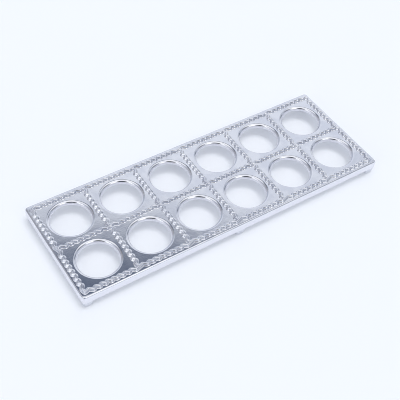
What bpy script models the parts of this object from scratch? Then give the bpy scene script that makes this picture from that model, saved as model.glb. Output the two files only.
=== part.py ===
"""A cast aluminium ravioli mold: twelve rimmed holes between zigzag cutting ridges.

One casting. A thin plate carries a grid of squares outlined by raised zigzag ridges,
and each square has a round hole with a deep rounded rim. A skirt runs round the edge
of the plate, hollow below, and six short feet are cast on the skirt.
Metres, +Z up. The origin is on the table, under the middle of the plate.
"""
import math

import bmesh
import bpy
from mathutils import Matrix, Vector

# The grid of squares
CELL = 0.049
COLUMNS = 6
ROWS = 2
END_MARGIN = 0.0046
SIDE_MARGIN = 0.0052

# The plate and its skirt
PLATE_TOP = 0.0145
PLATE_THICKNESS = 0.0030
SKIRT_DEPTH = 0.0078
SKIRT_WALL = 0.0024
CORNER_RADIUS = 0.0030
CORNER_STEPS = 4
EDGE_ROUNDING = 0.0016
EDGE_STEPS = 4

# The holes
HOLE_RADIUS = 0.0177
HOLE_ROUNDING = 0.0028
HOLE_STEPS = 36
ROUNDING_STEPS = 4

# The zigzag cutting ridges
RIDGE_HEIGHT = 0.0021
RIDGE_CREST_WIDTH = 0.0009
RIDGE_FOOT_WIDTH = 0.0030
TOOTH_REACH = 0.0010
CROSSING_REACH = 0.0013
CROSSING_HALF_LENGTH = 0.00385
FIRST_TOOTH_LENGTH = 0.0035
TEETH_PER_CELL = 13
RIDGE_OVERRUN = 0.0017
RIDGE_ROOT = 0.0005

# The feet
FOOT_WIDTH = 0.0100
FOOT_TAPER = 0.0012
FOOT_ROUNDING = 0.0016
FOOT_STEPS = 2
FOOT_SET_BACK = 0.00015

# Edges that turn by more than this are shaded sharp
SHARP_DEGREES = 30

# How far a cutting solid reaches past the face that it cuts, and the share of its
# first facet by which the plug's rim runs on above the plate
OVERCUT = 0.0010
LIP_SHARE = 0.15

HALF_LENGTH = COLUMNS * CELL / 2 + END_MARGIN
HALF_WIDTH = ROWS * CELL / 2 + SIDE_MARGIN
SKIRT_BOTTOM = PLATE_TOP - SKIRT_DEPTH
PLATE_UNDERSIDE = PLATE_TOP - PLATE_THICKNESS


def clear_scene():
    for obj in list(bpy.data.objects):
        bpy.data.objects.remove(obj, do_unlink=True)


def aluminium():
    material = bpy.data.materials.new("cast_aluminium")
    material.use_nodes = True
    shader = material.node_tree.nodes["Principled BSDF"]
    shader.inputs["Base Color"].default_value = (0.80, 0.80, 0.83, 1.0)
    shader.inputs["Metallic"].default_value = 1.0
    shader.inputs["Roughness"].default_value = 0.22
    return material


def add_object(name, bm):
    """Turns a bmesh into a named object with its faces pointing out."""
    bmesh.ops.recalc_face_normals(bm, faces=bm.faces)
    mesh = bpy.data.meshes.new(name)
    bm.to_mesh(mesh)
    bm.free()
    obj = bpy.data.objects.new(name, mesh)
    bpy.context.scene.collection.objects.link(obj)
    return obj


def rounded_outline(half_x, half_y, radius):
    """Corners of a rectangle with rounded corners, counter-clockwise."""
    points = []
    for quarter, (side_x, side_y) in enumerate(((1, 1), (-1, 1), (-1, -1), (1, -1))):
        middle = Vector((side_x * (half_x - radius), side_y * (half_y - radius)))
        for step in range(CORNER_STEPS + 1):
            angle = (quarter + step / CORNER_STEPS) * math.pi / 2
            points.append(middle + radius * Vector((math.cos(angle), math.sin(angle))))
    return points


def stacked_solid(bm, levels):
    """Skins closed outlines of equal point count, one above the other, and caps both ends."""
    rings = [[bm.verts.new((p.x, p.y, z)) for p in outline] for outline, z in levels]
    count = len(rings[0])
    for low, high in zip(rings, rings[1:]):
        for i in range(count):
            j = (i + 1) % count
            bm.faces.new((low[i], low[j], high[j], high[i]))
    bm.faces.new(rings[0])
    bm.faces.new(rings[-1])


def quarter_round(radius, steps):
    """Inset and drop along a quarter circle, from the side face in to the end face."""
    for step in range(steps + 1):
        angle = step / steps * math.pi / 2
        yield radius * (1 - math.cos(angle)), radius * (1 - math.sin(angle))


def make_block():
    """The plate and skirt as one full block, its top edge rounded."""
    bm = bmesh.new()
    levels = [(rounded_outline(HALF_LENGTH, HALF_WIDTH, CORNER_RADIUS), SKIRT_BOTTOM)]
    for inset, drop in quarter_round(EDGE_ROUNDING, EDGE_STEPS):
        outline = rounded_outline(HALF_LENGTH - inset, HALF_WIDTH - inset, CORNER_RADIUS - inset)
        levels.append((outline, PLATE_TOP - drop))
    stacked_solid(bm, levels)
    return add_object("mold_plate", bm)


def make_pocket():
    """The hollow under the plate, inside the skirt."""
    bm = bmesh.new()
    outline = rounded_outline(
        HALF_LENGTH - SKIRT_WALL, HALF_WIDTH - SKIRT_WALL, CORNER_RADIUS)
    stacked_solid(bm, [(outline, SKIRT_BOTTOM - OVERCUT), (outline, PLATE_UNDERSIDE)])
    return add_object("pocket_cutter", bm)


def make_foot(x, y):
    """A short post, wider at the top, with a rounded lower edge."""
    bm = bmesh.new()
    levels = []
    half = FOOT_WIDTH / 2
    for inset, drop in quarter_round(FOOT_ROUNDING, FOOT_STEPS):
        size = half - FOOT_TAPER - inset
        levels.append((rounded_outline(size, size, CORNER_RADIUS - FOOT_TAPER), drop))
    levels.reverse()
    levels.append((rounded_outline(half, half, CORNER_RADIUS), SKIRT_BOTTOM))
    top = (PLATE_TOP + PLATE_UNDERSIDE) / 2
    levels.append((rounded_outline(half, half, CORNER_RADIUS), top))
    stacked_solid(bm, levels)
    bmesh.ops.translate(bm, verts=bm.verts, vec=(x, y, 0))
    return add_object("foot", bm)


def make_feet():
    """One foot at each corner and one at the middle of each long side."""
    reach = FOOT_WIDTH / 2 + FOOT_SET_BACK
    return [
        make_foot(along * (HALF_LENGTH - reach), side * (HALF_WIDTH - reach))
        for side in (-1, 1) for along in (-1, 0, 1)
    ]


def hole_profile():
    """Radius and height down one side of a hole: the rounded rim, then the straight wall."""
    points = []
    for step in range(ROUNDING_STEPS + 1):
        angle = step / ROUNDING_STEPS * math.pi / 2
        radius = HOLE_RADIUS + HOLE_ROUNDING * (1 - math.sin(angle))
        points.append(Vector((radius, PLATE_TOP - HOLE_ROUNDING * (1 - math.cos(angle)))))
    points[0] += LIP_SHARE * (points[0] - points[1])
    points.append(Vector((HOLE_RADIUS, PLATE_UNDERSIDE - OVERCUT)))
    return points


def make_hole_cutters():
    """One turned plug for each square, all in one object."""
    bm = bmesh.new()
    for column in range(COLUMNS):
        for row in range(ROWS):
            middle = Vector((
                (column - (COLUMNS - 1) / 2) * CELL, (row - (ROWS - 1) / 2) * CELL))
            levels = []
            for radius, z in reversed(hole_profile()):
                ring = []
                for step in range(HOLE_STEPS):
                    angle = step / HOLE_STEPS * 2 * math.pi
                    ring.append(middle + radius * Vector((math.cos(angle), math.sin(angle))))
                levels.append((ring, z))
            stacked_solid(bm, levels)
    return add_object("hole_cutters", bm)


def zigzag(cells):
    """Distance along and across a ridge line, from one end of the grid to the other.

    Every crossing has one long straight slant, and between two crossings the teeth
    swing from side to side.
    """
    between = CELL - 2 * CROSSING_HALF_LENGTH - 2 * FIRST_TOOTH_LENGTH
    pitch = between / TEETH_PER_CELL
    start = -cells * CELL / 2
    lean = CROSSING_REACH / CROSSING_HALF_LENGTH
    points = [Vector((start - RIDGE_OVERRUN, -RIDGE_OVERRUN * lean))]
    for cell in range(cells):
        origin = start + cell * CELL
        points.append(Vector((origin + CROSSING_HALF_LENGTH, CROSSING_REACH)))
        for tooth in range(TEETH_PER_CELL + 1):
            along = origin + CROSSING_HALF_LENGTH + FIRST_TOOTH_LENGTH + tooth * pitch
            side = -1 if tooth % 2 == 0 else 1
            points.append(Vector((along, side * TOOTH_REACH)))
        points.append(Vector((origin + CELL - CROSSING_HALF_LENGTH, -CROSSING_REACH)))
    points.append(Vector((-start + RIDGE_OVERRUN, RIDGE_OVERRUN * lean)))
    return points


def mitred(points, offset):
    """The same run of points moved sideways by an equal distance, with mitred corners."""
    moved = []
    for i, point in enumerate(points):
        before = (point - points[i - 1]).normalized() if i else None
        after = (points[i + 1] - point).normalized() if i + 1 < len(points) else None
        before = before or after
        after = after or before
        bisector = (before + after).normalized()
        side = Vector((-bisector.y, bisector.x))
        moved.append(point + side * offset / bisector.dot(after))
    return moved


def make_ridge(cells, across, turned):
    """One ridge line, a wedge with a flat crest swept along the zigzag."""
    slope = (RIDGE_FOOT_WIDTH - RIDGE_CREST_WIDTH) / 2 / RIDGE_HEIGHT
    root = RIDGE_FOOT_WIDTH / 2 + slope * RIDGE_ROOT
    crest = RIDGE_CREST_WIDTH / 2
    section = (
        (-root, PLATE_TOP - RIDGE_ROOT), (-crest, PLATE_TOP + RIDGE_HEIGHT),
        (crest, PLATE_TOP + RIDGE_HEIGHT), (root, PLATE_TOP - RIDGE_ROOT))
    path = zigzag(cells)
    bm = bmesh.new()
    rows = [[bm.verts.new((p.x, p.y, z)) for p in mitred(path, side)] for side, z in section]
    for i, row in enumerate(rows):
        beside = rows[(i + 1) % len(rows)]
        for j in range(len(path) - 1):
            bm.faces.new((row[j], row[j + 1], beside[j + 1], beside[j]))
    bm.faces.new([row[0] for row in rows])
    bm.faces.new([row[-1] for row in rows])
    if turned:
        quarter_turn = Matrix.Rotation(math.pi / 2, 3, "Z")
        bmesh.ops.rotate(bm, verts=bm.verts, cent=(0, 0, 0), matrix=quarter_turn)
    shift = (across, 0, 0) if turned else (0, across, 0)
    bmesh.ops.translate(bm, verts=bm.verts, vec=shift)
    return add_object("ridge", bm)


def make_ridges():
    """The lines along the plate, then the lines across it."""
    along = [make_ridge(COLUMNS, (i - ROWS / 2) * CELL, False) for i in range(ROWS + 1)]
    across = [make_ridge(ROWS, (i - COLUMNS / 2) * CELL, True) for i in range(COLUMNS + 1)]
    return along + across


def combine(obj, operation, others):
    """Joins solids to the object or cuts them from it, and removes them."""
    group = bpy.data.collections.new("operands")
    bpy.context.scene.collection.children.link(group)
    for other in others:
        bpy.context.scene.collection.objects.unlink(other)
        group.objects.link(other)
    modifier = obj.modifiers.new(operation.lower(), "BOOLEAN")
    modifier.operation = operation
    modifier.solver = "EXACT"
    modifier.operand_type = "COLLECTION"
    modifier.collection = group
    evaluated = obj.evaluated_get(bpy.context.evaluated_depsgraph_get())
    mesh = bpy.data.meshes.new_from_object(evaluated)
    obj.modifiers.clear()
    old = obj.data
    obj.data = mesh
    mesh.name = obj.name
    bpy.data.meshes.remove(old)
    for other in others:
        bpy.data.objects.remove(other, do_unlink=True)
    bpy.data.collections.remove(group)


def make_mold():
    mold = make_block()
    combine(mold, "DIFFERENCE", [make_pocket()])
    combine(mold, "UNION", make_feet())
    combine(mold, "UNION", make_ridges())
    combine(mold, "DIFFERENCE", [make_hole_cutters()])
    mold.data.materials.clear()
    mold.data.materials.append(aluminium())
    mold.data.shade_smooth()
    mold.data.set_sharp_from_angle(angle=math.radians(SHARP_DEGREES))
    return mold


clear_scene()
make_mold()
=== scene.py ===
# %% [markdown]
# # A cast aluminium ravioli mold
# The mold is one casting: a long plate with two rows of holes, a zigzag cutting ridge round every
# square, a skirt round the edge and six short feet. The packed model already has every form at its
# true size, with few faces. Here the same casting is modelled again with round ridges and rims, and
# gets the finish of polished cast metal. It is laid on a pale table under soft studio light.

# %% Load the fixed frame
import math

import bmesh
import bpy
from mathutils import Matrix, Vector


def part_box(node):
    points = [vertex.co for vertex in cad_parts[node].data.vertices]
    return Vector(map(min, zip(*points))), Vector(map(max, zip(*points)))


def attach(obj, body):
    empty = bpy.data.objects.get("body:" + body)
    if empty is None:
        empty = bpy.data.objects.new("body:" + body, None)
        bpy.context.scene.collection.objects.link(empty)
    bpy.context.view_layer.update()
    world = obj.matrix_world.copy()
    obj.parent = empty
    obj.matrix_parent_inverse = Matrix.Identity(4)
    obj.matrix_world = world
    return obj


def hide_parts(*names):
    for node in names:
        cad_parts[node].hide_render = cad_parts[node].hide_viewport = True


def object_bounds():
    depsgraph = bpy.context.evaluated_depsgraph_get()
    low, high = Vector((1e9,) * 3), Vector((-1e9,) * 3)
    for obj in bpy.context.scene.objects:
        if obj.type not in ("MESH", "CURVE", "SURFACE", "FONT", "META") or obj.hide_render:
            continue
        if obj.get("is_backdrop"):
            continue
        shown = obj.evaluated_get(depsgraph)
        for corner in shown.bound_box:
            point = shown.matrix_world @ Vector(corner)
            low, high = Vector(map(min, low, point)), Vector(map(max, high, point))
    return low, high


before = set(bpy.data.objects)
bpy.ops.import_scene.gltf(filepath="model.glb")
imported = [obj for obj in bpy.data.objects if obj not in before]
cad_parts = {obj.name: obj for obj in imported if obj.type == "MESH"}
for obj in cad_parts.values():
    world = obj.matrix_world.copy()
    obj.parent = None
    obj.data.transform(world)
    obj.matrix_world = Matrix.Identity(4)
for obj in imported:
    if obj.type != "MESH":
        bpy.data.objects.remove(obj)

MM = 0.001
cad_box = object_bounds()
LOW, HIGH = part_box("mold_plate")
print("plate, in mm:", [round(side / MM, 1) for side in HIGH - LOW])

# %% [markdown]
# ## Sizes
# Everything sits on a grid of squares. The plate's outline and height are read from the frame, and the
# other sizes are the casting's own. The ridge's height is what stands above the plate.

# %% Name the sizes of the casting
MERGE = 0.01 * MM
CELL = 49 * MM
COLUMNS = 6
ROWS = 2
RIDGE_HEIGHT = 2.1 * MM
PLATE_TOP = HIGH.z - RIDGE_HEIGHT
PLATE_UNDERSIDE = PLATE_TOP - 3.0 * MM
SKIRT_BOTTOM = PLATE_TOP - 7.8 * MM
SKIRT_WALL = 2.4 * MM
CORNER_RADIUS = 3.0 * MM
EDGE_ROUNDING = 1.2 * MM
HOLE_RADIUS = 17.7 * MM
HOLE_ROUNDING = 2.8 * MM
print("plate top at", round(PLATE_TOP / MM, 2), "mm")

# %% [markdown]
# ## One side of a square
# A ridge runs straight and slanted through every crossing, and swings from side to side between two
# crossings. It can be drawn by hand, but it is the same on every side, so one list of corners worked
# out from the pitch of the teeth serves all of them.

# %% Work out the zigzag between two crossings
SLANT_LENGTH = 3.85 * MM
SLANT_REACH = 1.3 * MM
FIRST_TOOTH = 3.5 * MM
TOOTH_REACH = 1.35 * MM
TEETH = 13


def zigzag():
    """Distance along and across a ridge line for every corner, from one crossing to the next."""
    pitch = (CELL - 2 * SLANT_LENGTH - 2 * FIRST_TOOTH) / TEETH
    corners = [Vector((0, 0)), Vector((SLANT_LENGTH, SLANT_REACH))]
    for tooth in range(TEETH + 1):
        reach = -TOOTH_REACH if tooth % 2 == 0 else TOOTH_REACH
        corners.append(Vector((SLANT_LENGTH + FIRST_TOOTH + tooth * pitch, reach)))
    corners.append(Vector((CELL - SLANT_LENGTH, -SLANT_REACH)))
    corners.append(Vector((CELL, 0)))
    return corners


def along_x(start, cells):
    """The corners of a line along the plate, from its start over a number of cells."""
    line = zigzag()[:-1]
    return [start + corner + Vector((cell * CELL, 0)) for cell in range(cells) for corner in line]


def along_y(start, cells):
    """The corners of a line across the plate: the same zigzag, a quarter turn round."""
    line = [Vector((-corner.y, corner.x)) for corner in zigzag()[:-1]]
    return [start + corner + Vector((0, cell * CELL)) for cell in range(cells) for corner in line]


def loop_round(columns, rows):
    """The closed run of ridge lines round a block of squares, counter-clockwise."""
    width, depth = columns * CELL, rows * CELL
    south = along_x(Vector((0, 0)), columns)
    east = along_y(Vector((width, 0)), rows)
    north = along_x(Vector((0, depth)), columns)[1:] + [Vector((width, depth))]
    west = along_y(Vector((0, 0)), rows)[1:] + [Vector((0, depth))]
    return south + east + north[::-1] + west[::-1]


print("corners round one square:", len(loop_round(1, 1)))

# %% [markdown]
# ## Rings beside the crest
# The ridge's flanks are rings that follow the crest at a growing distance. Scaling the whole loop would
# shift its teeth out of step with the crest's. Each corner is moved along its own mitre instead, which
# keeps the distance equal on both sides of it.

# %% Move a run of corners sideways
def mitred(corners, distance):
    """The closed run of corners moved to its left by an equal distance."""
    moved = []
    for i, corner in enumerate(corners):
        before = (corner - corners[i - 1]).normalized()
        after = (corners[(i + 1) % len(corners)] - corner).normalized()
        bisector = (before + after).normalized()
        left = Vector((-bisector.y, bisector.x))
        moved.append(corner + left * distance / bisector.dot(after))
    return moved


print("corners after a move by 1 mm:", len(mitred(loop_round(1, 1), MM)))

# %% [markdown]
# ## Round corners
# Every corner of a ring is cut by an arc, because a casting has no sharp corner. The arcs of one corner
# share a middle, so their radius shrinks inside a bend and grows outside it. At a crossing the crest
# itself stays whole, so that four squares meet in one point, and the cut grows with the distance.

# %% Round the corners of a ring
CORNER_STEPS = 4
CREST_CORNER = 1.1 * MM
ROOT_CORNER = 0.25 * MM
CROSSING_CUT = 0.9
GRID_SLACK = 0.01


def is_crossing(corner):
    """True where the corner lies on the grid itself."""
    off_grid = max(abs(c / CELL - round(c / CELL)) for c in corner)
    return off_grid < GRID_SLACK


def corner_cut(moved, i, distance, crossing):
    """How far from a corner its arc starts: more outside a bend, less inside it."""
    before = (moved[i] - moved[i - 1]).normalized()
    after = (moved[(i + 1) % len(moved)] - moved[i]).normalized()
    turn = math.atan2(before.cross(after), before.dot(after))
    if crossing:
        return CROSSING_CUT * abs(distance)
    radius = CREST_CORNER - math.copysign(distance, turn * distance)
    return max(radius, ROOT_CORNER) * math.tan(abs(turn) / 2)


def ring_points(corners, distance):
    """Points of one ring beside the crest, with every corner rounded."""
    moved = mitred(corners, distance)
    count = len(moved)
    cuts = [corner_cut(moved, i, distance, is_crossing(corners[i])) for i in range(count)]
    room = []
    for i in range(count):
        wanted = cuts[i] + cuts[(i + 1) % count]
        room.append(min(1, (moved[(i + 1) % count] - moved[i]).length / max(wanted, MERGE)))
    points = []
    for i, corner in enumerate(moved):
        before = (moved[i - 1] - corner).normalized()
        after = (moved[(i + 1) % count] - corner).normalized()
        cut = cuts[i] * min(room[i - 1], room[i])
        start = corner + before * cut
        end = corner + after * cut
        # With this weight on the corner, the curve from start to end is an arc.
        weight = math.sqrt(max(0, (1 - before.dot(after)) / 2))
        for step in range(CORNER_STEPS + 1):
            t = step / CORNER_STEPS
            shares = (1 - t) ** 2, 2 * weight * t * (1 - t), t ** 2
            sides = shares[0] * start + shares[1] * corner + shares[2] * end
            points.append(sides / sum(shares))
    return points


print("points in one ring:", len(ring_points(loop_round(1, 1), 0)))

# %% [markdown]
# ## The ridge's section
# Cut across, a ridge is a round bead on two straight, steep flanks, with a hollow fillet at the foot,
# where the casting mould's sand is rounded too. A wedge would be simpler, but the mirror image of a lamp
# runs along a round crest as a bright line, and a wedge has none. The last step is a narrow strip of
# the flat, which keeps the shading of the fillet from spreading over the plate.

# %% Work out the section
BEAD_RADIUS = 1.1 * MM
FILLET_RADIUS = 1.0 * MM
STEEPEST = math.radians(82)
HOLD = 0.06 * MM
BEAD_STEPS = 6
FILLET_STEPS = 4


def ridge_section():
    """Distance from the crest and height above the plate: a round bead, then a hollow fillet."""
    for step in range(BEAD_STEPS + 1):
        tilt = step / BEAD_STEPS * STEEPEST
        distance = BEAD_RADIUS * math.sin(tilt)
        height = RIDGE_HEIGHT - BEAD_RADIUS * (1 - math.cos(tilt))
        yield distance, height
    drop = height - FILLET_RADIUS * (1 - math.cos(STEEPEST))
    foot = distance + drop / math.tan(STEEPEST) + FILLET_RADIUS * math.sin(STEEPEST)
    for step in range(FILLET_STEPS + 1):
        tilt = (1 - step / FILLET_STEPS) * STEEPEST
        yield foot - FILLET_RADIUS * math.sin(tilt), FILLET_RADIUS * (1 - math.cos(tilt))
    yield foot + HOLD, 0.0


print("half width of a ridge, in mm:", round(list(ridge_section())[-2][0] / MM, 2))

# %% [markdown]
# ## Extruding ring by ring
# A ring starts as a loop of edges. Each step extrudes that loop and moves the new vertices to their
# places, which is what an artist does with extrude and scale, only with exact distances.

# %% Write the extrusion helpers
def start_ring(bm, points, z):
    """A closed loop of edges through the points, at one height."""
    verts = [bm.verts.new((p.x, p.y, z)) for p in points]
    for i, vert in enumerate(verts):
        bm.edges.new((verts[i - 1], vert))
    return verts


def edges_of(ring):
    """The edges that join the vertices of a ring."""
    pairs = zip(ring, ring[1:] + ring[:1])
    return [next(e for e in a.link_edges if e.other_vert(a) == b) for a, b in pairs]


def extrude_ring(bm, ring, points, z):
    """Extrudes a ring and moves the new one to the points, in the same order."""
    made = bmesh.ops.extrude_edge_only(bm, edges=edges_of(ring))["geom"]
    fresh = {item for item in made if isinstance(item, bmesh.types.BMVert)}
    moved = []
    for vert, point in zip(ring, points):
        new = next(e.other_vert(vert) for e in vert.link_edges if e.other_vert(vert) in fresh)
        new.co = (point.x, point.y, z)
        moved.append(new)
    return moved


def flank(bm, corners, side):
    """One flank of a closed ridge line, from its crest out or in to the flat plate."""
    ring = None
    for distance, height in ridge_section():
        points = ring_points(corners, side * distance)
        if ring is None:
            ring = start_ring(bm, points, PLATE_TOP + height)
        else:
            ring = extrude_ring(bm, ring, points, PLATE_TOP + height)
    return ring


print("rings on one flank:", len(list(ridge_section())))

# %% [markdown]
# ## One square
# A square is the inner flank of its four ridges, a flat corner web and the hole. The hole is a circle
# extruded down a quarter round and then straight through the plate. Flat stretches are filled with
# triangles between two loops, because nothing there bends.

# %% Model one square
HOLE_STEPS = 84
RIM_STEPS = 8


def circle_points(radius):
    """Points of a circle round the middle of one square."""
    middle = Vector((CELL / 2, CELL / 2))
    turn = 2 * math.pi / HOLE_STEPS
    return [
        middle + radius * Vector((math.cos(i * turn), math.sin(i * turn)))
        for i in range(HOLE_STEPS)
    ]


def fill_flat(bm, rings):
    """Fills the flat stretch between closed loops, a loop inside another being a hole."""
    edges = [edge for ring in rings for edge in edges_of(ring)]
    bmesh.ops.triangle_fill(bm, edges=edges, use_beauty=True, use_dissolve=False)


def make_square():
    """The top of one square with its hole's rim and wall."""
    bm = bmesh.new()
    foot = flank(bm, loop_round(1, 1), 1)
    rim = start_ring(bm, circle_points(HOLE_RADIUS + HOLE_ROUNDING + HOLD), PLATE_TOP)
    fill_flat(bm, [foot, rim])
    for step in range(RIM_STEPS + 1):
        angle = step / RIM_STEPS * math.pi / 2
        radius = HOLE_RADIUS + HOLE_ROUNDING * (1 - math.sin(angle))
        drop = HOLE_ROUNDING * (1 - math.cos(angle))
        rim = extrude_ring(bm, rim, circle_points(radius), PLATE_TOP - drop)
    extrude_ring(bm, rim, circle_points(HOLE_RADIUS), PLATE_UNDERSIDE)
    return bm


square = make_square()
print("faces in one square:", len(square.faces))

# %% [markdown]
# ## The whole plate
# The square is copied over the grid, as a linear pattern. The copies share their crests, which merge
# into one mesh. The outer flank of the border ridge is made in the same way as the inner ones, on the
# closed line round the whole grid.

# %% Copy the square over the grid and add the border's outer flank
GRID_CORNER = Vector((-COLUMNS * CELL / 2, -ROWS * CELL / 2, 0))


def pattern_squares(bm):
    """Copies the first square to every place in the grid."""
    first = list(bm.verts) + list(bm.edges) + list(bm.faces)
    for column in range(COLUMNS):
        for row in range(ROWS):
            if column or row:
                made = bmesh.ops.duplicate(bm, geom=first)["geom"]
                verts = [item for item in made if isinstance(item, bmesh.types.BMVert)]
                bmesh.ops.translate(bm, verts=verts, vec=(column * CELL, row * CELL, 0))


bm = square
pattern_squares(bm)
flank(bm, loop_round(COLUMNS, ROWS), -1)
bmesh.ops.translate(bm, verts=bm.verts, vec=GRID_CORNER)
print("faces in the top:", len(bm.faces))

# %% [markdown]
# ## The skirt
# Below the plate the casting is a shallow tray turned upside down. It starts as a cube: its upright
# edges and its rims are bevelled, the bottom face is inset by the wall and pushed up to the plate's
# underside. The cube's top and the pocket's end are left open, and are filled round the border ridge
# and round the holes. In the editor these edges and faces would be picked by hand. Here small helpers
# pick them by their height.

# %% Pick and round edges
def upright_edges(edges):
    """The edges that join two heights."""
    return [e for e in edges if abs(e.verts[0].co.z - e.verts[1].co.z) > MM]


def faces_at(bm, z):
    """Level faces at one height."""
    return [f for f in bm.faces if all(abs(v.co.z - z) < MERGE for v in f.verts)]


def round_edges(bm, edges, radius, segments):
    """Bevels edges to a round of one radius."""
    bmesh.ops.bevel(
        bm, geom=edges, offset=radius, offset_type="OFFSET", segments=segments,
        profile=0.5, affect="EDGES", clamp_overlap=True, material=-1)


print("level faces on top:", len(faces_at(bm, PLATE_TOP)))

# %% Model the skirt
CORNER_SEGMENTS = 6
EDGE_SEGMENTS = 4
BOTTOM_ROUNDING = 0.4 * MM


def make_skirt():
    """The tray below the plate, open where the plate's top and underside go."""
    bm = bmesh.new()
    bmesh.ops.create_cube(bm, size=1)
    size = HIGH - LOW
    height = PLATE_TOP - SKIRT_BOTTOM
    bmesh.ops.scale(bm, verts=bm.verts, vec=(size.x, size.y, height))
    bmesh.ops.translate(bm, verts=bm.verts, vec=(0, 0, SKIRT_BOTTOM + height / 2))
    round_edges(bm, upright_edges(bm.edges), CORNER_RADIUS, CORNER_SEGMENTS)
    bottom = faces_at(bm, SKIRT_BOTTOM)
    bmesh.ops.inset_region(bm, faces=bottom, thickness=SKIRT_WALL)
    pushed = bmesh.ops.extrude_discrete_faces(bm, faces=bottom)["faces"]
    verts = [v for f in pushed for v in f.verts]
    bmesh.ops.translate(bm, verts=verts, vec=(0, 0, PLATE_UNDERSIDE - SKIRT_BOTTOM))
    rims = [e for f in faces_at(bm, SKIRT_BOTTOM) for e in f.edges if len(e.link_faces) == 2
            and any(abs(v.co.z - SKIRT_BOTTOM) > MERGE for g in e.link_faces for v in g.verts)]
    round_edges(bm, list(set(rims)), BOTTOM_ROUNDING, EDGE_SEGMENTS)
    top_edges = [e for f in faces_at(bm, PLATE_TOP) for e in f.edges]
    round_edges(bm, top_edges, EDGE_ROUNDING, EDGE_SEGMENTS)
    ends = faces_at(bm, PLATE_TOP) + faces_at(bm, PLATE_UNDERSIDE)
    bmesh.ops.delete(bm, geom=ends, context="FACES_ONLY")
    return bm


skirt = make_skirt()
print("faces in the skirt:", len(skirt.faces))

# %% [markdown]
# ## One closed shell
# The tray joins the plate as one mesh. Crests that meet are merged, and the two openings are filled:
# the plate's top between the skirt's rounded edge and the border ridge, and its underside between the
# pocket's wall and the holes. In a closed shell every edge has two faces, and the last line counts
# the edges that haven't.

# %% Join the skirt to the plate
def into(bm, other, name):
    """Adds another bmesh to this one."""
    mesh = bpy.data.meshes.new(name)
    other.to_mesh(mesh)
    other.free()
    bm.from_mesh(mesh)
    bpy.data.meshes.remove(mesh)


def ordered(edges):
    """The vertices of a closed loop of edges, one after the other."""
    vert = edges[0].verts[0]
    left = set(edges)
    ring = []
    while left:
        edge = next(e for e in vert.link_edges if e in left)
        left.remove(edge)
        ring.append(vert)
        vert = edge.other_vert(vert)
    return ring


def open_rings(bm, z):
    """The closed loops of open edges at one height."""
    edges = {
        e for e in bm.edges
        if len(e.link_faces) == 1 and all(abs(v.co.z - z) < MERGE for v in e.verts)
    }
    rings = []
    while edges:
        group = [next(iter(edges))]
        for edge in group:
            for vert in edge.verts:
                group += [e for e in vert.link_edges if e in edges and e not in group]
        edges -= set(group)
        rings.append(ordered(group))
    return rings


into(bm, skirt, "skirt")
bmesh.ops.remove_doubles(bm, verts=bm.verts, dist=MERGE)
fill_flat(bm, open_rings(bm, PLATE_TOP))
fill_flat(bm, open_rings(bm, PLATE_UNDERSIDE))
bmesh.ops.recalc_face_normals(bm, faces=bm.faces)
print("open edges left:", sum(not e.is_manifold for e in bm.edges))

# %% [markdown]
# ## The feet
# Six short posts stand under the skirt, one at each corner and one at the middle of each long side.
# Each is a cube, narrowed towards its lower end and bevelled, with its upper end pushed up into the
# skirt. A cylinder would be simpler, but the outer side of a real foot is flat and nearly flush with
# the skirt.

# %% Model the feet
FOOT_WIDTH = 10.0 * MM
FOOT_TAPER = 1.2 * MM
FOOT_ROUNDING = 1.6 * MM
FOOT_EDGE = 2.2 * MM
FOOT_SET_BACK = 0.15 * MM
FOOT_SEGMENTS = 5


def make_foot(bm, x, y):
    """One post from the table up into the skirt."""
    before = set(bm.verts)
    made = bmesh.ops.create_cube(bm, size=1)["verts"]
    bmesh.ops.scale(bm, verts=made, vec=(FOOT_WIDTH, FOOT_WIDTH, SKIRT_BOTTOM))
    bmesh.ops.translate(bm, verts=made, vec=(0, 0, SKIRT_BOTTOM / 2))
    lower = [v for v in made if v.co.z < SKIRT_BOTTOM / 2]
    share = 1 - 2 * FOOT_TAPER / FOOT_WIDTH
    bmesh.ops.scale(bm, verts=lower, vec=(share, share, 1))
    upper = [f for f in bm.faces if all(v in made and v not in lower for v in f.verts)]
    raised = bmesh.ops.extrude_discrete_faces(bm, faces=upper)["faces"]
    middle_of_plate = (PLATE_TOP + PLATE_UNDERSIDE) / 2
    bmesh.ops.translate(bm, verts=raised[0].verts, vec=(0, 0, middle_of_plate - SKIRT_BOTTOM))
    edges = [e for e in bm.edges if e.verts[0] not in before]
    round_edges(bm, upright_edges(edges), FOOT_EDGE, FOOT_SEGMENTS)
    base = [e for f in faces_at(bm, 0) for e in f.edges if e.verts[0] not in before]
    round_edges(bm, base, FOOT_ROUNDING, FOOT_SEGMENTS)
    verts = [v for v in bm.verts if v not in before]
    bmesh.ops.translate(bm, verts=verts, vec=(x, y, 0))


def make_feet():
    """Three posts along each long side."""
    bm = bmesh.new()
    reach = FOOT_WIDTH / 2 + FOOT_SET_BACK
    for side in (-1, 1):
        for along in (-1, 0, 1):
            make_foot(bm, along * (HIGH.x - reach), side * (HIGH.y - reach))
    return bm


feet = make_feet()
print("faces in the feet:", len(feet.faces))

# %% [markdown]
# ## One casting
# The feet are cast in one piece with the rest. A Boolean joins all six to the shell and leaves no face
# inside, which two meshes that only overlap would. The shading is smooth, except over sharp edges.

# %% Unite the feet with the casting
SHARP_DEGREES = 35


def add_object(name, bm):
    """Turns a bmesh into an object with its faces pointing out."""
    bmesh.ops.recalc_face_normals(bm, faces=bm.faces)
    mesh = bpy.data.meshes.new(name)
    bm.to_mesh(mesh)
    bm.free()
    obj = bpy.data.objects.new(name, mesh)
    bpy.context.scene.collection.objects.link(obj)
    return obj


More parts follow.
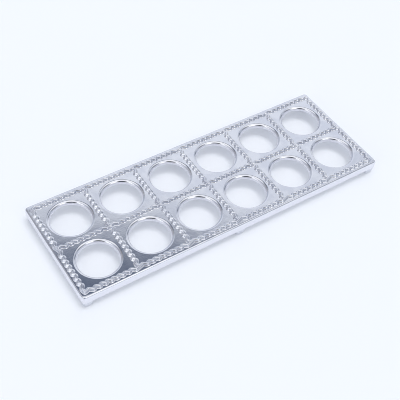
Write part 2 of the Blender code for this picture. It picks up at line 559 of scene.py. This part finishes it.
def unite(mold, feet):
    """Unites the feet with the casting and keeps the result as the casting's own mesh."""
    modifier = mold.modifiers.new("feet", "BOOLEAN")
    modifier.operation = "UNION"
    modifier.solver = "EXACT"
    modifier.object = feet
    evaluated = mold.evaluated_get(bpy.context.evaluated_depsgraph_get())
    mesh = bpy.data.meshes.new_from_object(evaluated)
    mold.modifiers.clear()
    mold.data = mesh
    bpy.data.objects.remove(feet, do_unlink=True)


mold = add_object("mold_casting", bm)
unite(mold, add_object("feet", feet))
mold.data.shade_smooth()
mold.data.set_sharp_from_angle(angle=math.radians(SHARP_DEGREES))
mold.data.calc_loop_triangles()
print("triangles in the casting:", len(mold.data.loop_triangles))

# %% [markdown]
# ## Shader sums
# A material is a net of nodes. Sums are far easier to read as Python, so one small class stands for a
# socket and turns every plus, minus and times into a Math node.

# %% Write the class for sums
class Value:
    """A socket that can be used in Python sums, each of which adds a Math node."""

    def __init__(self, nodes, socket):
        self.nodes = nodes
        self.socket = socket

    def math(self, operation, *terms):
        return self.nodes.node("ShaderNodeMath", {"operation": operation}, inputs=terms)

    def __add__(self, other):
        return self.math("ADD", self, other)

    __radd__ = __add__

    def __sub__(self, other):
        return self.math("SUBTRACT", self, other)

    def __rsub__(self, other):
        return self.math("SUBTRACT", other, self)

    def __mul__(self, other):
        return self.math("MULTIPLY", self, other)

    __rmul__ = __mul__

    def at_most(self, other):
        return self.math("MINIMUM", self, other)


sums = [name.strip("_") for name in vars(Value) if name.endswith(("add__", "sub__", "mul__"))]
print("sums that a value takes part in:", sums)

# %% [markdown]
# ## Any other node
# A second class adds any node, with its settings and its sockets. It also keeps the two steps that come
# again and again: a soft rise between two values, and one colour painted over another.

# %% Write the class for nodes
class Nodes:
    """A node tree, with one way to add any node to it."""

    def __init__(self, owner):
        owner.use_nodes = True
        self.tree = owner.node_tree

    def node(self, kind, settings=None, output=0, inputs=(), **sockets):
        """Adds a node, sets it up, fills its sockets, and gives one of its outputs."""
        node = self.tree.nodes.new(kind)
        for name, value in (settings or {}).items():
            setattr(node, name, value)
        for place, value in enumerate(inputs):
            self.fill(node, place, value)
        for name, value in sockets.items():
            self.fill(node, name.replace("_", " "), value)
        return Value(self, node.outputs[output])

    def fill(self, node, which, value):
        """Sets one socket of a node, found by its place or its name, or links a value to it."""
        if isinstance(which, int):
            socket = node.inputs[which]
        else:
            socket = next(s for s in node.inputs if s.name == which and s.enabled)
        if isinstance(value, Value):
            self.tree.links.new(value.socket, socket)
        else:
            socket.default_value = value

    def between(self, value, low, high):
        """Rises softly from 0 to 1 while a value goes from low to high."""
        return self.node(
            "ShaderNodeMapRange", {"interpolation_type": "SMOOTHSTEP"}, output="Result",
            Value=value, From_Min=low, From_Max=high)

    def painted(self, share, under, over):
        """One colour over another by a share."""
        colour_output = 2
        return self.node(
            "ShaderNodeMix", {"data_type": "RGBA"}, output=colour_output,
            Factor=share, A=under, B=over)


print("what a node tree can do:", [name for name in vars(Nodes) if not name.startswith("_")])

# %% [markdown]
# ## The metal
# Cast aluminium is a light grey, a little cool. The top is polished and mirrors the room softly, with
# faint cloudy patches where the polish is worn. The skirt, the walls of the holes and the underside
# keep the even, duller skin that blasting leaves. The feet get the darker colour of the top again,
# which is painted shade. One material tells them apart by height. It could be three, but then each
# border would be a hard line.
# Tumbling leaves the skin slightly uneven, so the roughness wanders and a fine, shallow grain bends
# the reflections. All of it reads Object coordinates, so it stays on the metal in every view.

# %% Make the aluminium
POLISHED = (0.82, 0.83, 0.865, 1)
WORN = (0.73, 0.745, 0.80, 1)
BLASTED = (0.885, 0.885, 0.935, 1)
TOP_FROM = PLATE_TOP - 1.4 * MM
TOP_TO = PLATE_TOP - 0.6 * MM
FEET_SHADE_FROM = PLATE_TOP - 7.0 * MM
FEET_SHADE_TO = PLATE_TOP - 8.6 * MM
PATCHES = {"Scale": 90.0, "Detail": 3.0}
GRAIN = {"Scale": 900.0, "Detail": 2.0}
WORN_BELOW = 0.35
POLISHED_ABOVE = 0.65
TOP_ROUGHNESS = 0.07
SIDE_ROUGHNESS = 0.42
ROUGHNESS_SPREAD = 0.05
PATCH_HEIGHT = 4.0
BUMP = {"Strength": 0.10, "Distance": 0.1 * MM}


def cast_aluminium():
    """Polished above, dull between, and the top's darker colour on the feet as painted shade."""
    material = bpy.data.materials.new("cast_aluminium")
    shader = Nodes(material)
    place = shader.node("ShaderNodeTexCoord", output="Object")
    height = shader.node("ShaderNodeSeparateXYZ", output="Z", Vector=place)
    top = shader.between(height, TOP_FROM, TOP_TO)
    # Down on the feet the colour goes back to the darker top colour: painted shade.
    above_feet_shade = shader.between(height, FEET_SHADE_TO, FEET_SHADE_FROM)
    patches = shader.node("ShaderNodeTexNoise", Vector=place, **PATCHES)
    grain = shader.node("ShaderNodeTexNoise", Vector=place, **GRAIN)
    polish = shader.between(patches, WORN_BELOW, POLISHED_ABOVE)
    skin = shader.painted(polish, WORN, POLISHED)
    gloss = SIDE_ROUGHNESS - (SIDE_ROUGHNESS - TOP_ROUGHNESS) * top
    bump = shader.node("ShaderNodeBump", Height=grain + PATCH_HEIGHT * patches, **BUMP)
    surface = shader.tree.nodes["Principled BSDF"]
    shader.fill(surface, "Base Color", shader.painted(above_feet_shade - top, skin, BLASTED))
    shader.fill(surface, "Metallic", 1.0)
    shader.fill(surface, "Roughness", gloss + ROUGHNESS_SPREAD * patches)
    shader.fill(surface, "Normal", bump)
    print("nodes in the metal:", len(shader.tree.nodes))
    return material


mold.data.materials.clear()
mold.data.materials.append(cast_aluminium())
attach(mold, "root")
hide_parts("mold_plate")

# %% [markdown]
# ## The camera
# The camera looks down at the plate from its front left, a little rolled. It stands on a sphere round
# the point it aims at, so an azimuth, an elevation and a distance say where it is.

# %% Place the camera
AZIMUTH = math.radians(-36.426)
ELEVATION = math.radians(48.507)
ROLL = math.radians(4.901)
DISTANCE = 0.701986
AIM = Vector((-0.016524, -0.012769, PLATE_TOP))
SENSOR = 36.0
FRAME_PIXELS = 400
FOCAL_PIXELS = 805.966
NEAREST = 0.01


def make_camera():
    """A camera on its sphere round the point it aims at."""
    back = Vector((
        math.sin(AZIMUTH) * math.cos(ELEVATION),
        -math.cos(AZIMUTH) * math.cos(ELEVATION),
        math.sin(ELEVATION)))
    level = Vector((0, 0, 1)).cross(back).normalized()
    upright = back.cross(level)
    right = level * math.cos(ROLL) + upright * math.sin(ROLL)
    up = upright * math.cos(ROLL) - level * math.sin(ROLL)
    data = bpy.data.cameras.new("camera")
    data.sensor_width = SENSOR
    data.lens = FOCAL_PIXELS / FRAME_PIXELS * SENSOR
    data.clip_start = NEAREST
    camera = bpy.data.objects.new("camera", data)
    turn = Matrix((right, up, back)).transposed().to_4x4()
    camera.matrix_world = Matrix.Translation(AIM + back * DISTANCE) @ turn
    bpy.context.scene.collection.objects.link(camera)
    bpy.context.scene.camera = camera
    print("camera at, in mm:", [round(part / MM) for part in camera.matrix_world.translation])


make_camera()

# %% [markdown]
# ## The table
# The table is a plain pale sheet. Part of its brightness is given to camera rays and mirror images
# alone, so that the background stays even and the metal mirrors it, while the shadow under the
# casting stays soft.

# %% Make the table
FLOOR_HALF = 3.0
FLOOR_COLOUR = (0.918, 0.948, 1.0, 1)
FLOOR_ROUGHNESS = 0.9
BACKGROUND = (0.95, 0.98, 1.0, 1)
BACKGROUND_SHARE = 0.19
RAYS = ("Is Camera Ray", "Is Glossy Ray", "Is Transmission Ray")


def table_top():
    """A matt sheet, with a share of plain brightness for the rays that look at it."""
    material = bpy.data.materials.new("floor")
    shader = Nodes(material)
    surface = shader.tree.nodes["Principled BSDF"]
    shader.fill(surface, "Base Color", FLOOR_COLOUR)
    shader.fill(surface, "Roughness", FLOOR_ROUGHNESS)
    shader.fill(surface, "Specular IOR Level", 0.0)
    seen = sum(shader.node("ShaderNodeLightPath", output=ray) for ray in RAYS)
    share = seen.at_most(1.0) * BACKGROUND_SHARE
    glow = shader.node("ShaderNodeEmission", Color=BACKGROUND, Strength=1.0)
    matt = Value(shader, surface.outputs[0])
    both = shader.node("ShaderNodeMixShader", inputs=(share, matt, glow))
    shader.fill(shader.tree.nodes["Material Output"], "Surface", both)
    return material


def make_floor():
    """The sheet, with its middle under the casting."""
    bm = bmesh.new()
    bmesh.ops.create_grid(bm, x_segments=1, y_segments=1, size=FLOOR_HALF)
    floor = add_object("floor", bm)
    floor.data.materials.append(table_top())
    floor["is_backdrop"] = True
    print("table, in m:", list(floor.dimensions))


make_floor()

# %% [markdown]
# ## The room
# A polished plate looks like the room that it mirrors, so the room matters as much as the metal. It is
# a white studio with a bright ceiling. A dark beam between wall and ceiling darkens the near corner of
# the plate. Soft lights stand to the left, in front, behind and low behind, with dull screens between
# them, and they draw the bright and dark dashes along the ridges. The small dark shade in front is
# what every rim mirrors towards the camera. A picture of a real studio could stand in for all this,
# but painting round spots over each other in the world needs no file and says what each one does.

# %% Name the colours and places of the room
WALLS = (0.55, 0.59, 0.68, 1)
RIGHT_SCREEN = (0.28, 0.29, 0.33, 1)
LOW_SCREEN = (0.20, 0.22, 0.27, 1)
LOW_LIGHT = (0.92, 0.95, 1.0, 1)
BACK_LIGHT = (0.83, 0.87, 0.96, 1)
LEFT_LIGHT = (1.52, 1.54, 1.57, 1)
FRONT_LIGHT = (1.60, 1.60, 1.57, 1)
CEILING = (1.14, 1.15, 1.18, 1)
BEAM = (0.15, 0.18, 0.25, 1)
BACK_WALL = (0.49, 0.50, 0.56, 1)
BACK_SCREEN = (0.33, 0.33, 0.35, 1)
CEILING_CORNER = (1.0, 1.01, 1.04, 1)
FRONT_SHADE = (0.03, 0.03, 0.04, 1)

# In degrees: azimuth, elevation, the angle inside which a spot is full and the one where it is gone.
LOW_SPOTS = (
    (327, 44, 10, 22, RIGHT_SCREEN),
    (5, 22, 4, 14, LOW_SCREEN),
    (35, 0, 22, 35, LOW_LIGHT),
    (56, 32, 14, 24, BACK_LIGHT),
    (194, 25, 8, 19, LEFT_LIGHT),
    (203, 51, 2, 13, LEFT_LIGHT),
    (279, 45, 10, 19, FRONT_LIGHT),
)
HIGH_SPOTS = (
    (135, 10, 22, 36, BACK_WALL),
    (106, 48, 5, 17, BACK_SCREEN),
    (150, 72, 6, 24, CEILING_CORNER),
    (224, 40, 8, 15, FRONT_SHADE),
    (236, 47, 12, 19, FRONT_SHADE),
    (246, 54, 8, 15, FRONT_SHADE),
)
CEILING_FROM = 42
CEILING_FULL = 78
BEAM_PLACE = (68, 54, 8, 22)
BEAM_LOWER_EDGE = (48, 53.5)
BEAM_UPPER_EDGE = (58, 67)
print("spots in the room:", len(LOW_SPOTS) + len(HIGH_SPOTS))

# %% [markdown]
# ## Spots and bands in the world
# The world's shader knows only the direction that a ray goes in. Its dot product with the direction to
# a place says how near the two are, and a soft rise of that is a round spot. A soft rise of the
# direction's height is a level band. Each colour is painted over the ones before it.

# %% Paint the room in the world
def sine(degrees):
    """The sine of an angle in degrees."""
    return math.sin(math.radians(degrees))


def toward(azimuth, elevation):
    """The direction to a place in the room, with the azimuth from +X."""
    level = sine(90 - elevation)
    return Vector((level * sine(90 - azimuth), level * sine(azimuth), sine(elevation)))


def spot(sky, direction, azimuth, elevation, full, gone):
    """The share of a soft round spot round a place in the room."""
    closeness = sky.node(
        "ShaderNodeVectorMath", {"operation": "DOT_PRODUCT"}, output="Value",
        inputs=(direction, toward(azimuth, elevation)))
    return sky.between(closeness, sine(90 - gone), sine(90 - full))


def add_spots(sky, direction, colour, spots):
    """Paints spots over a colour, one after the other."""
    for *place, paint in spots:
        colour = sky.painted(spot(sky, direction, *place), colour, paint)
    return colour


def make_world():
    """Walls, low spots, ceiling, beam and high spots, each over the ones before."""
    world = bpy.data.worlds.new("studio")
    bpy.context.scene.world = world
    sky = Nodes(world)
    direction = sky.node("ShaderNodeTexCoord", output="Generated")
    height = sky.node("ShaderNodeSeparateXYZ", output="Z", Vector=direction)
    colour = add_spots(sky, direction, WALLS, LOW_SPOTS)
    ceiling = sky.between(height, sine(CEILING_FROM), sine(CEILING_FULL))
    colour = sky.painted(ceiling, colour, CEILING)
    beam = sky.between(height, *map(sine, BEAM_LOWER_EDGE))
    beam = beam * (1 - sky.between(height, *map(sine, BEAM_UPPER_EDGE)))
    colour = sky.painted(beam * spot(sky, direction, *BEAM_PLACE), colour, BEAM)
    colour = add_spots(sky, direction, colour, HIGH_SPOTS)
    sky.fill(sky.tree.nodes["Background"], "Color", colour)
    print("nodes in the world:", len(sky.tree.nodes))


make_world()

# %% [markdown]
# ## The lamp and the film
# One wide, soft lamp near the ceiling adds to the light of the room and gives the casting its shadow.
# It is a sun with a large angle, and mirror images don't show it, because the ceiling already lies
# there. The photo is a sharp one, so the render's pixel filter is narrower than Blender's own.

# %% Place the lamp and set the film
LAMP_AT = Vector((0.15, -0.11, 1.0))
LAMP_ANGLE = math.radians(28)
LAMP_ENERGY = 0.82
PIXEL_FILTER = 0.9


def make_lamp():
    """A soft sun that shines from its place to the middle of the table."""
    data = bpy.data.lights.new("ceiling_lamp", "SUN")
    data.angle = LAMP_ANGLE
    data.energy = LAMP_ENERGY
    lamp = bpy.data.objects.new("ceiling_lamp", data)
    turn = LAMP_AT.to_track_quat("Z", "Y").to_matrix().to_4x4()
    lamp.matrix_world = Matrix.Translation(LAMP_AT) @ turn
    lamp.visible_glossy = False
    bpy.context.scene.collection.objects.link(lamp)
    print("lamp's strength:", round(data.energy, 2))


make_lamp()
bpy.context.scene.cycles.filter_width = PIXEL_FILTER
bpy.context.scene.view_settings.view_transform = "Standard"

# %% [markdown]
# ## The end
# The box of the packed model and the box of this one are measured, and the greatest gap between them
# is printed. They are the same, because the new casting takes its outline and height from the frame.

# %% Compare the boxes and finish
boxes = {"cad": cad_box, "visual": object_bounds()}

gaps = [abs(a - b) for pair in zip(*boxes.values()) for a, b in zip(*pair)]
print("greatest gap between the boxes, in mm:", round(max(gaps) / MM, 3))
